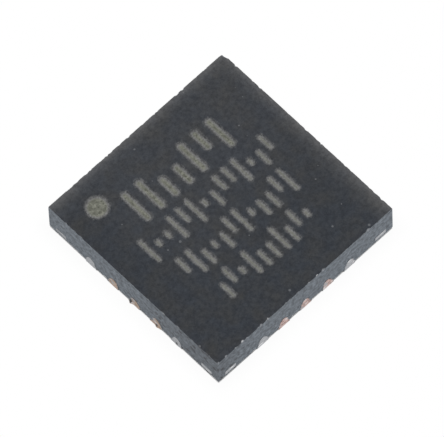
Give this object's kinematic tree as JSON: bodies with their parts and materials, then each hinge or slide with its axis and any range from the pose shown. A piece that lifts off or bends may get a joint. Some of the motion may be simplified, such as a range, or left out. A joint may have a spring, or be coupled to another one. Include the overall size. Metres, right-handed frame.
{
  "type": "integrated circuit",
  "caption": "Square flat leadless integrated circuit package: black moulded body with laser tick marks and a pin 1 dot, sawn copper lead ends flush with its sides, exposed pad below.",
  "frame": {"origin": "centre of the seating plane, under the middle of the body", "axes": "+Z from the lands up to the marked face; +Y towards the side with the pin 1 dot and -X towards the other side with it, so that pin 1 is at the -X +Y corner"},
  "size_m": [0.004, 0.004, 0.0008],
  "materials": {
    "moulding": "fine matte moulded face, sawn sides",
    "lead_frame": "copper with sawn ends, matte tin on the lands",
    "die_glue": "cured silver-filled epoxy",
    "silicon": "polished silicon",
    "bond_wire": "drawn gold"
  },
  "bodies": {
    "root": {"mould_body": "moulding", "die_paddle": "lead_frame", "die_glue": "die_glue", "silicon_die": "silicon", "lead_01": "lead_frame", "lead_02": "lead_frame", "lead_03": "lead_frame", "lead_04": "lead_frame", "lead_05": "lead_frame", "lead_06": "lead_frame", "lead_07": "lead_frame", "lead_08": "lead_frame", "lead_09": "lead_frame", "lead_10": "lead_frame", "lead_11": "lead_frame", "lead_12": "lead_frame", "lead_13": "lead_frame", "lead_14": "lead_frame", "lead_15": "lead_frame", "lead_16": "lead_frame", "lead_17": "lead_frame", "lead_18": "lead_frame", "lead_19": "lead_frame", "lead_20": "lead_frame", "bond_wire_01": "bond_wire", "bond_wire_02": "bond_wire", "bond_wire_03": "bond_wire", "bond_wire_04": "bond_wire", "bond_wire_05": "bond_wire", "bond_wire_06": "bond_wire", "bond_wire_07": "bond_wire", "bond_wire_08": "bond_wire", "bond_wire_09": "bond_wire", "bond_wire_10": "bond_wire", "bond_wire_11": "bond_wire", "bond_wire_12": "bond_wire", "bond_wire_13": "bond_wire", "bond_wire_14": "bond_wire", "bond_wire_15": "bond_wire", "bond_wire_16": "bond_wire", "bond_wire_17": "bond_wire", "bond_wire_18": "bond_wire", "bond_wire_19": "bond_wire", "bond_wire_20": "bond_wire"}
  },
  "joints": []
}
